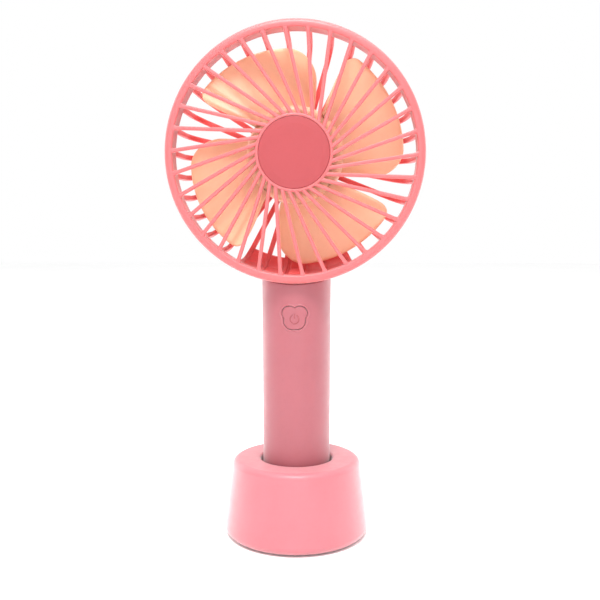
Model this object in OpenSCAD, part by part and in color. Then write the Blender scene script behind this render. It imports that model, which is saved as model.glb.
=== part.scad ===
// Handheld electric fan with its desk stand.
// Origin: centre of the stand's underside. +Z is up, and the fan blows towards -Y.
// Head parts are drawn in a turned frame: x to the right and y up as seen from the
// front, and z forwards, measured from the handle's axis.

/* [Stand] */
// Height of the stand
stand_h = 33; // [30:1:40]
// Widest radius of the stand, just above the floor
stand_r = 30.9; // [30:0.1:34]
// Radius of the stand's side at its top edge
stand_top_r = 27.5; // [27:0.1:28.5]
// Rounding of the stand's top and bottom edges
stand_round = 3; // [2.5:0.1:3.5]
// Wall thickness of the stand
stand_wall = 2.2; // [1.8:0.1:2.4]
// Inside radius of the socket for the handle
socket_r = 15.4; // [15.2:0.1:15.8]

/* [Handle] */
// Outer radius of the handle at its lower end
handle_r = 14.3; // [14.2:0.1:14.5]
// Outer radius of the handle at its upper end
handle_top_r = 14.6; // [14.5:0.1:14.8]
// Inside radius of the handle shells
handle_bore_r = 12.9; // [12.8:0.05:13]
// Wall thickness of the handle's shoulder
handle_wall = 1.6; // [1.4:0.1:1.8]
// Height of the power button's centre above the floor
button_z = 94.7; // [94.2:0.1:95.2]
// How far the power button travels
button_travel = 0.5; // [0.3:0.1:0.5]
// Diameter of the rechargeable cell
cell_d = 18.4; // [18:0.1:18.6]
// Length of the rechargeable cell with its positive cap
cell_l = 65.3; // [64.8:0.1:65.3]

/* [Head] */
// Height of the fan's axis above the floor
head_z = 161.3; // [160.8:0.1:161.8]
// Outer radius of the grille
head_r = 52.5; // [52.4:0.1:52.8]
// Width of the front ring
ring_w = 3.5; // [3.2:0.1:3.8]
// Distance of the grille's front plane ahead of the handle's axis
head_front = 18; // [18:0.1:18.5]
// Number of spokes in each grille
spoke_count = 34; // [28:1:36]
// Width of a front spoke
spoke_w = 1.4; // [1.2:0.1:1.6]
// Turn of a front spoke between the ring and the hub, in degrees
spoke_sweep = 22.5; // [15:0.5:28]
// Width of a rear rib
rib_w = 2.2; // [1.8:0.1:2.4]
// Radius of the front grille's hub
hub_r = 15.7; // [15:0.1:16.5]
// Radius of the blank badge on the hub
badge_r = 14.4; // [13:0.1:14.6]

/* [Impeller] */
// Number of blades
blade_count = 4; // [3:1:5]
// Radius of the blade tips
blade_r = 45; // [42:0.5:45.5]
// Radius of the impeller's hub
impeller_hub_r = 19.8; // [19:0.1:20.5]
// Thickness of a blade
blade_t = 1.5; // [1.2:0.1:1.8]

/* [Hidden] */
$fn = 96;

// Colours
stand_pink = [1.00, 0.63, 0.67];
shell_pink = [0.91, 0.56, 0.60];
grille_pink = [0.98, 0.58, 0.60];
badge_pink = [0.90, 0.44, 0.45];
peach = [0.99, 0.75, 0.61];

// Stand
rim_z = 0.6;                     // lower edge of the stand's side
pad_t = 1;                       // thickness of the foot pad and of the socket pad
plate_r = 25.8;
plate_t = 1.6;
plate_top = pad_t + plate_t;
recess_r = plate_r + 0.2;
socket_floor = 7;
socket_wall = 2;
side_low = [stand_r - stand_round, rim_z + stand_round];
side_high = [stand_top_r - stand_round, stand_h - stand_round];
side_angle = atan2(side_low[0] - side_high[0], side_high[1] - side_low[1]);
mouth_round = 1;
stand_screw_r = 22;              // distance of the stand's screws from its axis
stand_screw_angles = [90, 210, 330];
boss_r = 2.8;
ballast_h = 7;

// Handle
handle_z = socket_floor + pad_t; // lower end of the handle, on its pad
shell_z = handle_z + 2.1;        // the shells start above the cap's flange
shell_top = 113;
shoulder_r = 7;                  // rounding of the handle's upper end at the back
split_clear = 12;                // degrees beside the split line that stay free of ribs
cell_z = handle_z + 7;
contact_z = cell_z + cell_l + 0.05;
board_z = 91;
board_t = 1.2;
board_top = board_z + board_t;
board_r = 11.4;
handle_screw_x = 7.8;
handle_screw_z = 84.5;
neck_rib_z = 104.2;
neck_rib_h = 1.2;
button_back = 10.5;              // back of the button's flange, ahead of the axis
button_flange_t = 0.8;
button_gap = 0.25;
button_proud = 0.2;
switch_front = 9.4;
switch_depth = 3.5;
plunger_r = 1.7;
port_z = board_top + 1.4;
port_mouth = 12.2;
port_depth = 5.6;
light_x = 7;
light_z = board_top + 1;

// Battery collar and cap, joined by a bayonet
collar_z = handle_z + 2.4;
collar_h = 7;
collar_r = 12.8;
collar_bore = 11.3;
lug_z = handle_z + 4.9;
cap_unlock = 60;                 // degrees of turn that free the cap

// Front ring, rim and the bayonet between them
ring_back = head_front - 5;
tenon_back = ring_back - 3;
tenon_r = head_r - 2;
rim_front = ring_back - 0.2;
rim_back = ring_back - 4;
rim_bore = tenon_r + 0.3;
spoke_t = 1.8;
cover_lugs = [45, 135, 225, 315];
cover_unlock = 8;                // degrees of turn that free the front grille
first_spoke = -1.1;

// Dome of the rear grille: a side wall, a round corner and a shallow back
dome_corner = 11;
corner_c = [39.5, -3];
dome_front = [52, rim_back + 0.5];
dome_back = [16, -17];
rib_depth = 2.2;
spine_depth = 3.4;
spine_w = 6;
web_inset = 0.25;                // the chin and the spine lie a little below the ribs
chin_angle = 57;
chin_corner = 66;                // how far the solid chin follows the dome's corner
cup_r = 14.2;
cup_bore = 12.3;
cup_back = -17.2;
neck_r = 12.7;
neck_bore = 9.4;
neck_z = 101.2;
lead_hole = [3, 2];              // distance behind the handle's axis, and radius

// Motor
can_r = 12.1;
can_front = -1.5;
can_back = -14;
shaft_r = 1;
bush_clear = 0.03;
motor_screw_x = 8;
terminal = [3.5, -8.3];

// Impeller
hub_front = 12;
hub_back = -4;
hub_wall = 1.6;
blade_root = impeller_hub_r - 0.8;
blade_lead_z = hub_back;
lead_round = 12;
trail_round = 5;
chord = 60;
chord_steps = 16;
span_steps = 10;

// ---------- helpers ----------

function mix(a, b, t) = a + (b - a) * t;
function unit(v) = v / norm(v);
function reversed(list) = [for (i = [len(list) - 1:-1:0]) list[i]];
function arc(c, r, from, to, steps = 8) =
    [for (i = [0:steps]) let (a = mix(from, to, i / steps)) c + r * [cos(a), sin(a)]];
function handle_outer(z) = mix(handle_r, handle_top_r, (z - handle_z) / (shell_top - handle_z));

// Turns the children to face the front, at a height z
module facing_front(z) {
    translate([0, 0, z]) rotate([90, 0, 0]) children();
}

// A ring sector of a rectangle: radii r0 to r1, heights z0 to z1
module sector(r0, r1, z0, z1, from, span) {
    rotate([0, 0, from]) rotate_extrude(angle = span)
        translate([r0, z0]) square([r1 - r0, z1 - z0]);
}

module tube(r0, r1, z0, z1) {
    rotate_extrude() translate([r0, z0]) square([r1 - r0, z1 - z0]);
}

// Points of a smooth path through hand-placed points
function smooth_path(p, steps = 4) = let (n = len(p) - 1) concat(
    [for (i = [0:n - 1], k = [0:steps - 1]) let (
        t = k / steps,
        a = p[max(i - 1, 0)], b = p[i], c = p[i + 1], d = p[min(i + 2, n)])
        0.5 * (2 * b + (c - a) * t + (2 * a - 5 * b + 4 * c - d) * t * t
            + (3 * b - a - 3 * c + d) * t * t * t)],
    [p[n]]);

// A round wire along a path that never runs along the vector ref
module wire(path, r, ref, sides = 8) {
    n = len(path);
    rings = [for (i = [0:n - 1]) let (
        t = unit(path[min(i + 1, n - 1)] - path[max(i - 1, 0)]),
        u = unit(cross(t, ref)),
        v = cross(u, t))
        for (k = [0:sides - 1]) path[i] + r * (cos(360 * k / sides) * u + sin(360 * k / sides) * v)];
    walls = [for (i = [0:n - 2], k = [0:sides - 1]) let (
        a = i * sides + k, b = i * sides + (k + 1) % sides)
        each [[a, b, b + sides], [a, b + sides, a + sides]]];
    first = [for (k = [sides - 1:-1:0]) k];
    last = [for (k = [0:sides - 1]) (n - 1) * sides + k];
    polyhedron(rings, concat(walls, [first, last]), convexity = 6);
}

// ---------- stand ----------

module at_stand_screws() {
    for (a = stand_screw_angles) rotate([0, 0, a]) translate([stand_screw_r, 0, 0]) children();
}

module base_shell() {
    inner_low = side_low + (stand_round - stand_wall) * [1, 0] + [0, 1.4];
    inner_high = [stand_top_r - stand_wall - 0.1, stand_h - stand_wall];
    profile = concat(
        [[recess_r, rim_z]],
        arc(side_low, stand_round, -90, side_angle),
        arc(side_high, stand_round, side_angle, 90),
        arc([socket_r + mouth_round, stand_h - mouth_round], mouth_round, 90, 180, 4),
        [[socket_r, socket_floor], [0, socket_floor], [0, socket_floor - socket_wall],
         [socket_r + socket_wall, socket_floor - socket_wall],
         [socket_r + socket_wall, stand_h - stand_wall],
         inner_high, inner_low, [recess_r, plate_top]]);
    web = [[socket_r + 1, plate_top + ballast_h + 0.5], [inner_low[0] - 0.3, plate_top + ballast_h + 0.5],
           [inner_high[0] + 0.4, stand_h - stand_wall + 0.5], [socket_r + 1, stand_h - stand_wall + 0.5]];
    color(stand_pink) difference() {
        union() {
            rotate_extrude() polygon(profile);
            at_stand_screws() translate([0, 0, plate_top]) cylinder(r = boss_r, h = 13);
            for (a = stand_screw_angles) rotate([0, 0, a]) rotate([90, 0, 0])
                linear_extrude(1.6, center = true) polygon(web);
        }
        at_stand_screws() translate([0, 0, plate_top - 0.1]) cylinder(r = 1, h = 11, $fn = 32);
    }
}

module base_bottom_plate() {
    color(stand_pink * 0.9) difference() {
        translate([0, 0, pad_t]) cylinder(r = plate_r, h = plate_t);
        at_stand_screws() cylinder(r = 1.4, h = 5, $fn = 32);
        at_stand_screws() cylinder(r = 2.6, h = pad_t + 0.9, $fn = 32);
    }
}

module ballast_ring() {
    color("dimgray") difference() {
        tube(socket_r + socket_wall + 0.4, plate_r - 0.2, plate_top, plate_top + ballast_h);
        at_stand_screws() cylinder(r = boss_r + 0.4, h = 20, $fn = 48);
    }
}

module foot_pad() {
    color("whitesmoke") cylinder(r = plate_r - 1.3, h = pad_t);
}

module base_screws() {
    color("silver") at_stand_screws() {
        difference() {
            translate([0, 0, pad_t + 0.1]) cylinder(r = 2.3, h = 0.8, $fn = 32);
            translate([-1.4, -0.2, 0]) cube([2.8, 0.4, pad_t + 0.5]);
            translate([-0.2, -1.4, 0]) cube([0.4, 2.8, pad_t + 0.5]);
        }
        translate([0, 0, pad_t + 0.9]) cylinder(r = 1.15, h = 9, $fn = 32);
    }
}

module socket_pad() {
    color("lightgray") translate([0, 0, socket_floor + 0.02]) cylinder(r = socket_r - 0.3, h = pad_t - 0.04);
}

// ---------- handle ----------

// The space that the head takes up, with room for it to sit on the handle
module head_envelope() {
    clear = 0.3;
    outline = concat(
        [[0, head_front + 2], [head_r + clear, head_front + 2], [head_r + clear, rim_back]],
        arc(corner_c, dome_corner + clear, 0, -90),
        [[0, corner_c[1] - dome_corner - clear]]);
    facing_front(head_z) rotate_extrude() polygon(outline);
}

// A half ring rib inside a shell, in one or two arcs that leave the split line free
module shell_rib(side, inner_r, z, h, from = split_clear, to = 180 - split_clear) {
    sector(inner_r, handle_bore_r + 0.3, z, z + h, side + from, to - from);
}

// The handle's length, cut to the rounded shoulder at the back of its upper end
module below_shoulder(inset) {
    r = shoulder_r - inset;
    c = [handle_top_r - shoulder_r, shell_top - shoulder_r];
    side_view = concat([[-20, 0], [c[0] + r, 0]], arc(c, r, 0, 90), [[-20, c[1] + r]]);
    rotate([90, 0, 90]) linear_extrude(40, center = true) polygon(side_view);
}

// The space under the roof of that shoulder, open upwards in front of an edge
module under_roof(inset, edge) {
    below_shoulder(inset);
    translate([-20, -20, 0]) cube([40, 20 + edge, 130]);
}

module shell_half(side) {
    profile = [[0, shell_z], [handle_r - 0.7, shell_z], [handle_outer(shell_z + 0.7), shell_z + 0.7],
               [handle_top_r, shell_top], [0, shell_top]];
    difference() {
        union() {
            difference() {
                intersection() {
                    rotate([0, 0, side]) rotate_extrude(angle = 180) polygon(profile);
                    below_shoulder(0);
                }
                intersection() {
                    translate([0, 0, shell_z - 1]) cylinder(r = handle_bore_r, h = shell_top);
                    under_roof(handle_wall, 6.2);
                }
            }
            for (z = [24, 46, 68]) shell_rib(side, cell_d / 2 + 0.4, z, 1.4);
            shell_rib(side, 7, contact_z + 0.5, 1.2);
            for (z = [board_z - 1.2, board_top + 0.1], turn = [0, 130])
                shell_rib(side, 10.6, z, 1.1, 10 + turn, 40 + turn);
            shell_rib(side, neck_r - 1.2, neck_rib_z, neck_rib_h, 0, 180);
        }
        tube(collar_r, collar_r + 0.8, lug_z, lug_z + 1.6);
        head_envelope();
    }
}

// A screw boss inside a shell, cut off at the shell's outer wall
module shell_bosses(r) {
    intersection() {
        translate([0, 0, handle_screw_z - 5]) cylinder(r = handle_r - 0.4, h = 10);
        for (x = [-1, 1]) translate([x * handle_screw_x, 0, handle_screw_z]) children();
    }
}

// A generic soft four-lobed outline, a little wider at the top
module button_outline(grow) {
    for (x = [-1, 1]) {
        translate([x * 2.15, 1.75]) circle(r = 3 + grow);
        translate([x * 0.9, -1.3]) circle(r = 3.5 + grow);
    }
}

module handle_front_shell() {
    button_r = handle_outer(button_z);
    color(shell_pink) difference() {
        union() {
            shell_half(180);
            shell_bosses() rotate([90, 0, 0]) cylinder(r = 2.4, h = handle_r, $fn = 40);
            intersection() {
                facing_front(button_z) linear_extrude(handle_top_r + 1) button_outline(button_gap + 0.65);
                tube(handle_bore_r + 0.4, button_r + 0.25, button_z - 8, button_z + 8);
            }
        }
        for (x = [-1, 1]) translate([x * handle_screw_x, 0.1, handle_screw_z])
            rotate([90, 0, 0]) cylinder(r = 0.95, h = 7.6, $fn = 32);
        facing_front(button_z) translate([0, 0, button_back]) linear_extrude(6) button_outline(button_gap);
    }
}

module handle_rear_shell() {
    port_slot = [8.6, 3.8];
    color(shell_pink) difference() {
        union() {
            shell_half(0);
            shell_bosses() rotate([-90, 0, 0]) cylinder(r = 3.1, h = handle_r, $fn = 40);
        }
        for (x = [-1, 1]) translate([x * handle_screw_x, 0, handle_screw_z]) rotate([-90, 0, 0]) {
            translate([0, 0, -1]) cylinder(r = 1.25, h = 16, $fn = 32);
            translate([0, 0, 6.5]) cylinder(r = 2.3, h = 10, $fn = 40);
        }
        translate([-port_slot[0] / 2, port_mouth - 2, port_z - port_slot[1] / 2])
            cube([port_slot[0], 5, port_slot[1]]);
        translate([light_x, 5, light_z]) rotate([-90, 0, 0]) cylinder(r = 1.1, h = 12, $fn = 32);
    }
}

module handle_screws() {
    color("silver") for (x = [-1, 1]) translate([x * handle_screw_x, 6.5, handle_screw_z]) {
        difference() {
            rotate([-90, 0, 0]) cylinder(r = 2.1, h = 1.6, $fn = 40);
            translate([-1.3, 1.1, -0.25]) cube([2.6, 1, 0.5]);
            translate([-0.25, 1.1, -1.3]) cube([0.5, 1, 2.6]);
        }
        rotate([90, 0, 0]) cylinder(r = 1.1, h = 13, $fn = 32);
    }
}

// A ring open at the top with a short bar in the gap, just under the button's middle
module power_symbol() {
    translate([0, -0.5]) difference() {
        circle(r = 2.1, $fn = 48);
        circle(r = 1.6, $fn = 48);
        translate([-0.75, 0]) square([1.5, 3]);
    }
    translate([-0.25, -0.3]) square([0.5, 2.1]);
}

module power_button() {
    face_r = handle_outer(button_z) + button_proud;
    color(shell_pink * 0.96) {
        intersection() {
            facing_front(button_z) translate([0, 0, button_back]) linear_extrude(6) button_outline(0);
            translate([0, 0, button_z - 8]) cylinder(r = face_r, h = 16);
        }
        intersection() {
            facing_front(button_z) translate([0, 0, button_back + 1]) linear_extrude(6) power_symbol();
            translate([0, 0, button_z - 8]) cylinder(r = face_r + 0.2, h = 16);
        }
        facing_front(button_z) translate([0, 0, button_back])
            linear_extrude(button_flange_t) button_outline(0.6);
    }
}

module switch_body() {
    color("#303030") difference() {
        translate([-3, -switch_front, board_top]) cube([6, switch_depth, 5.5]);
        facing_front(button_z) translate([0, 0, switch_front - 2.6])
            cylinder(r = plunger_r + 0.05, h = 4, $fn = 48);
    }
}

module switch_plunger() {
    color("black") facing_front(button_z) translate([0, 0, switch_front - 2])
        cylinder(r = plunger_r, h = button_back - 0.05 - switch_front + 2, $fn = 48);
}

module circuit_board() {
    color("seagreen") intersection() {
        translate([0, 0, board_z]) cylinder(r = board_r, h = board_t);
        translate([-20, -switch_front - 0.2, board_z - 1]) cube([40, 40, 4]);
    }
}

module board_chips() {
    color("#202020") {
        translate([1, -5, board_z - 1.5]) cube([5, 4, 1.5]);
        translate([2, 2, board_z - 1]) cube([3, 3, 1]);
        translate([-7, -6, board_z - 0.8]) cube([3, 1.6, 0.8]);
        translate([-5.5, 3.2, board_top]) cube([2, 1.2, 0.8]);
    }
}

module board_inductor() {
    color("#404040") translate([-4.5, 2, board_z - 2.8]) difference() {
        cylinder(r = 2.9, h = 2.8, $fn = 48);
        tube(2.1, 3.2, 0.7, 2.1);
    }
}

module indicator_led() {
    color("white") translate([light_x - 1, 7.4, board_top]) cube([2, 1.4, 2]);
}

module light_pipe() {
    color("ghostwhite") intersection() {
        translate([light_x, 8.9, light_z]) rotate([-90, 0, 0]) cylinder(r = 1, h = 6, $fn = 32);
        translate([0, 0, light_z - 3]) cylinder(r = handle_outer(light_z) - 0.05, h = 6);
    }
}

// Outline of a small charging inlet: flat on top, with the lower corners cut off
module port_outline(inset) {
    w = 3.75 - inset;
    h = 1.4 - inset;
    polygon([[-w, h], [-w, 0], [-w + 0.9, -h], [w - 0.9, -h], [w, 0], [w, h]]);
}

module charging_port_shell() {
    color("silver") facing_front(port_z) translate([0, 0, -port_mouth]) difference() {
        linear_extrude(port_depth) port_outline(0);
        translate([0, 0, -1]) linear_extrude(port_depth) port_outline(0.3);
    }
}

module charging_port_tongue() {
    color("#282828") facing_front(port_z) translate([-2.3, 0.1, -port_mouth + 0.6])
        cube([4.6, 0.6, port_depth - 1.6]);
}

// ---------- battery ----------

module battery_cell() {
    color("mediumpurple") rotate_extrude() polygon(concat(
        [[0, cell_z]],
        arc([cell_d / 2 - 0.8, cell_z + 0.8], 0.8, -90, 0, 4),
        arc([cell_d / 2 - 0.8, cell_z + cell_l - 2.1], 0.8, 0, 90, 4),
        [[0, cell_z + cell_l - 1.3]]));
}

module battery_terminal() {
    color("silver") translate([0, 0, cell_z + cell_l - 1.3]) cylinder(r = 2.8, h = 1.3, $fn = 48);
}

module positive_contact() {
    color("gold") translate([0, 0, contact_z]) difference() {
        cylinder(r = 8.5, h = 0.4);
        for (x = [-1, 1]) translate([x * 4.5, 0, -1]) cylinder(r = 1.2, h = 3, $fn = 32);
    }
}

battery_lead_points = [[1, 0.5, contact_z + 0.4], [1, 0.6, contact_z + 3], [-0.6, 1.5, contact_z + 5.5],
                       [-0.8, 0.5, board_z - 2.5], [-0.5, 0, board_z - 0.15]];

module battery_lead() {
    color("firebrick") wire(smooth_path(battery_lead_points), 0.6, [0, 1, 0]);
}

module negative_strip() {
    strip_x = handle_bore_r - 1.4;
    strip_z = collar_z + collar_h + 0.2;
    color("gainsboro") {
        translate([strip_x, -1.5, strip_z]) cube([0.3, 3, board_top + 0.4 - strip_z]);
        translate([strip_x - 1.5, -1.5, strip_z]) cube([1.6, 3, 0.3]);
    }
}

module battery_collar() {
    color("#d9d9d9") difference() {
        union() {
            tube(collar_bore, collar_r, collar_z, collar_z + collar_h);
            tube(collar_r - 0.5, collar_r + 0.7, lug_z + 0.1, lug_z + 1.5);
        }
        tube(collar_bore - 1, collar_bore + 0.8, lug_z - 0.3, lug_z + 1.9);
        for (a = [90, 270])
            sector(collar_bore - 1, collar_bore + 0.8, collar_z - 1, lug_z, a + cap_unlock - 12, 24);
    }
}

module battery_cap() {
    flange_r = handle_r - 0.05;
    color(shell_pink * 0.95) difference() {
        union() {
            rotate_extrude() polygon(concat(
                [[0, handle_z]],
                arc([flange_r - 0.8, handle_z + 0.8], 0.8, -90, 0, 4),
                [[flange_r, handle_z + 2], [0, handle_z + 2]]));
            tube(9.8, collar_bore - 0.3, handle_z + 1, cell_z + 1.8);
            for (a = [90, 270])
                sector(collar_bore - 0.6, collar_bore + 0.5, lug_z, lug_z + 1.6, a - 9, 18);
        }
        translate([-8, -0.8, handle_z - 1]) cube([16, 1.6, 2]);
    }
}

module battery_spring() {
    turns = 3.5;
    steps = 56;
    wire_r = 0.4;
    low = handle_z + 2 + wire_r;
    high = cell_z - wire_r - 0.05;
    helix = [for (i = [0:steps]) let (t = i / steps, r = mix(7.5, 3.5, t), a = 360 * turns * t)
        [r * cos(a), r * sin(a), mix(low, high, t)]];
    color("silver") wire(helix, wire_r, [0, 0, 1]);
}

// ---------- front grille ----------

// A straight bar between two points of the head's plane
module bar(p, q, w, back, t) {
    along = q - p;
    translate([p[0], p[1], back]) rotate([0, 0, atan2(along[1], along[0])])
        translate([0, -w / 2, 0]) cube([norm(along), w, t]);
}

module front_grille() {
    inner_r = head_r - ring_w;
    ring = concat(
        [[inner_r, tenon_back], [tenon_r, tenon_back], [tenon_r, ring_back], [head_r, ring_back]],
        arc([head_r - 2, head_front - 2], 2, 0, 90),
        arc([inner_r + 0.6, head_front - 0.6], 0.6, 90, 180, 4));
    hub = [[0, head_front - 2.4], [hub_r, head_front - 2.4], [hub_r, head_front - 0.5],
           [hub_r - 0.5, head_front], [badge_r + 0.1, head_front],
           [badge_r + 0.1, head_front - 0.8], [0, head_front - 0.8]];
    color(grille_pink) facing_front(head_z) {
        rotate_extrude($fn = 180) polygon(ring);
        rotate_extrude() polygon(hub);
        for (i = [0:spoke_count - 1]) rotate([0, 0, first_spoke + i * 360 / spoke_count])
            bar([inner_r + 0.6, 0], (hub_r - 0.8) * [cos(spoke_sweep), -sin(spoke_sweep)],
                spoke_w, head_front - spoke_t, spoke_t - 0.1);
        for (a = cover_lugs)
            sector(tenon_r - 0.4, tenon_r + 1, tenon_back + 0.6, tenon_back + 1.6, a - 2.5, 5);
    }
}

module badge_disc() {
    color(badge_pink) facing_front(head_z) translate([0, 0, head_front - 0.8]) {
        cylinder(r = badge_r, h = 0.6);
        cylinder(r = badge_r - 0.4, h = 0.85);
    }
}

// ---------- rear grille ----------

// The dome's section from the rim to a given turn of its corner, moved inwards
function dome_path(inset, turn = 90) = concat(
    [dome_front - [inset, 0]],
    arc(corner_c, dome_corner - inset, 0, -turn));

function dome_band(outer, inner, turn = 90) = concat(
    dome_path(outer, turn), reversed(dome_path(inner, turn)));

function rib_outline(outer, inner) = concat(
    dome_path(outer), [dome_back + [0, outer], dome_back + [0, inner]], reversed(dome_path(inner)));

module dome_rib(w, outer, inner) {
    rotate([90, 0, 0]) linear_extrude(w, center = true) polygon(rib_outline(outer, inner));
}

module neck() {
    inside = concat([[0, rim_front + 1], [head_r + 0.3, rim_front + 1], [head_r + 0.3, rim_front],
        [rim_bore + 0.5, rim_front], [rim_bore + 0.5, rim_back + 1]], dome_path(1.1),
        [[0, corner_c[1] - dome_corner + 1.1]]);
    groove_z = neck_rib_z - 0.2;
    difference() {
        intersection() {
            tube(neck_bore, neck_r, neck_z, shell_top + 5);
            under_roof(handle_wall + 0.2, 6);
        }
        facing_front(head_z) rotate_extrude() polygon(inside);
        tube(neck_r - 1.4, neck_r + 1, groove_z, groove_z + neck_rib_h + 0.4);
    }
}

module rear_grille() {
    rim = [[head_r - 0.4, rim_back], [head_r, rim_back + 0.4], [head_r, rim_front],
           [rim_bore, rim_front], [rim_bore, rim_back + 0.7], [rim_bore - 1.5, rim_back + 0.7],
           [rim_bore - 1.5, rim_back]];
    cup = [[cup_r, cup_back], [cup_r, 0], [3.3, 0], [3.3, can_front], [cup_bore, can_front],
           [cup_bore, cup_back]];
    color(grille_pink) difference() {
        union() {
            facing_front(head_z) {
                rotate_extrude($fn = 180) polygon(rim);
                rotate_extrude() polygon(cup);
                tube(cup_r - 0.5, dome_back[0] + 2.5, cup_back, cup_back + 2);
                for (i = [0:spoke_count - 1]) rotate([0, 0, first_spoke + i * 360 / spoke_count])
                    dome_rib(rib_w, 0, rib_depth);
                rotate([0, 0, -90]) dome_rib(spine_w, web_inset, spine_depth);
                rotate([0, 0, 270 - chin_angle / 2]) rotate_extrude(angle = chin_angle, $fn = 180)
                    polygon(dome_band(web_inset, rib_depth - web_inset, chin_corner));
            }
            neck();
        }
        translate([0, lead_hole[0], 104]) cylinder(r = lead_hole[1], h = 11.5, $fn = 32);
        facing_front(head_z) {
            rotate([0, 0, -90]) intersection() {
                dome_rib(3.2, 1.6, spine_depth + 1);
                translate([0, -5, -20]) cube([60, 10, 16]);
            }
            translate([-2.2, -cup_r - 3, -16.9]) cube([4.4, 5.5, 3.3]);
            for (x = [-1, 1]) translate([x * motor_screw_x, 0, can_front - 1])
                cylinder(r = 1.1, h = 4, $fn = 32);
            for (a = cover_lugs) {
                sector(rim_bore - 0.5, rim_bore + 1.1, tenon_back + 0.3, tenon_back + 1.9,
                       a - 3.5, 7 + cover_unlock);
                sector(rim_bore - 0.7, rim_bore + 1.05, tenon_back + 0.6, rim_front + 1,
                       a - 3.3 + cover_unlock, 6.6);
            }
        }
    }
}

// ---------- motor ----------

module motor_rear_cover() {
    flange_r = cup_r + 0.4;
    color(grille_pink) facing_front(head_z) rotate_extrude() polygon(concat(
        [[0, cup_back - 0.4], [0, cup_back - 2]],
        arc([flange_r - 1.4, cup_back - 0.6], 1.4, -90, 0, 6),
        [[flange_r, cup_back - 0.05], [cup_bore - 0.1, cup_back - 0.05], [cup_bore - 0.1, cup_back + 0.9],
         [cup_bore - 1.2, cup_back + 0.9], [cup_bore - 1.2, cup_back - 0.4]]));
}

module motor_can() {
    wall = 0.8;
    boss_r = 3;
    section = [[can_r, can_back], [can_r, can_front], [boss_r, can_front], [boss_r, 0.3], [2.4, 0.3],
               [2.4, can_front - wall], [can_r - wall, can_front - wall], [can_r - wall, can_back]];
    color("lightsteelblue") facing_front(head_z) difference() {
        rotate_extrude() polygon(section);
        for (x = [-1, 1]) translate([x * motor_screw_x, 0, can_front - 1.5])
            cylinder(r = 1, h = 3, $fn = 32);
    }
}

module motor_end_cap() {
    color("ivory") facing_front(head_z) difference() {
        union() {
            tube(2.4, can_r - 0.8, can_back, can_back + 1.4);
            tube(2.4, 3.4, can_back - 1, can_back + 0.5);
        }
        for (x = [-1, 1]) translate([x * terminal[0] - 0.9, terminal[1] - 0.25, can_back - 1])
            cube([1.8, 0.5, 4]);
    }
}

module motor_bushes() {
    color("goldenrod") facing_front(head_z) {
        tube(shaft_r + bush_clear, 2.4, can_front - 0.8, 0.3);
        tube(shaft_r + bush_clear, 2.4, can_back - 1, can_back + 1.4);
    }
}

module motor_magnets() {
    color("#353535") facing_front(head_z) for (a = [20, 200])
        sector(9.4, can_r - 0.85, can_back + 1.8, can_front - 1.8, a, 140);
}

module motor_brushes() {
    color("peru") facing_front(head_z) for (a = [0, 180]) rotate([0, 0, a])
        translate([2.65, -0.6, can_back + 1.4]) cube([3.4, 1.2, 0.9]);
}

module motor_terminals() {
    color("silver") facing_front(head_z) for (x = [-1, 1])
        translate([x * terminal[0] - 0.9, terminal[1] - 0.25, can_back - 2.2]) cube([1.8, 0.5, 3.8]);
}

module motor_screws() {
    color("silver") facing_front(head_z) for (x = [-1, 1]) translate([x * motor_screw_x, 0, 0]) {
        difference() {
            cylinder(r = 1.9, h = 1.1, $fn = 40);
            translate([-1.2, -0.2, 0.5]) cube([2.4, 0.4, 1]);
            translate([-0.2, -1.2, 0.5]) cube([0.4, 2.4, 1]);
        }
        translate([0, 0, can_front - 1.2]) cylinder(r = 1, h = 1.3 - can_front, $fn = 32);
    }
}

// A lead from the circuit board, through the neck and along the spine to the motor
function lead_points(side) = [
    [side * 1.2, 1, board_top + 0.1], [side * 1.2, 1, 97], [side * 1, 2.4, 104],
    [side * 0.9, 3, 109.5], [side * 0.9, 3.7, 112.8], [side * 0.9, 6.2, 113.8],
    [side * 0.9, 9.1, 115.7], [side * 0.9, 11.1, 118.7], [side * 0.9, 11.9, 123],
    [side * 0.9, 13.2, 134], [side * 0.9, 14.6, 145], [side * 1.6, 15.1, 148.6],
    [side * 3.1, 15.5, 152.3]];

module motor_lead_red() {
    color("red") wire(smooth_path(lead_points(1), 3), 0.5, [1, 0, 0]);
}

module motor_lead_black() {
    color("black") wire(smooth_path(lead_points(-1), 3), 0.5, [1, 0, 0]);
}

// ---------- impeller ----------

// Angles of a blade's leading and trailing edges at radius r
function lead_angle(r) = -21 + 0.45 * (r - blade_root);
function trail_angle(r) = 56 + 4.5 * sin(90 * min(1, (r - blade_root) / 19));
// Height of the trailing edge: level with the hub at the root, and further forward outside
function trail_z(r) = hub_front + 2 * sin(90 * min(1, (r - blade_root) / 8));
function corner_drop(radius, d) = d >= radius ? 0 : radius - sqrt(radius * radius - pow(radius - d, 2));
function tip_radius(s) = blade_r - corner_drop(lead_round, s * chord) - corner_drop(trail_round, (1 - s) * chord);

// A point of the blade at s along its chord and v along its span, on one of its two faces
function blade_point(s, v, face) = let (
    r = mix(blade_root, tip_radius(s), v),
    a = mix(lead_angle(r), trail_angle(r), s),
    rise = (trail_z(r) - blade_lead_z) / (r * (trail_angle(r) - lead_angle(r)) * PI / 180),
    t = blade_t * min(1, 0.45 + 5 * min(s, 1 - s, 1 - v)),
    z = mix(blade_lead_z + 0.8, trail_z(r), s) + face * t / 2 * sqrt(1 + rise * rise))
    [r * cos(a), r * sin(a), z];

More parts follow.
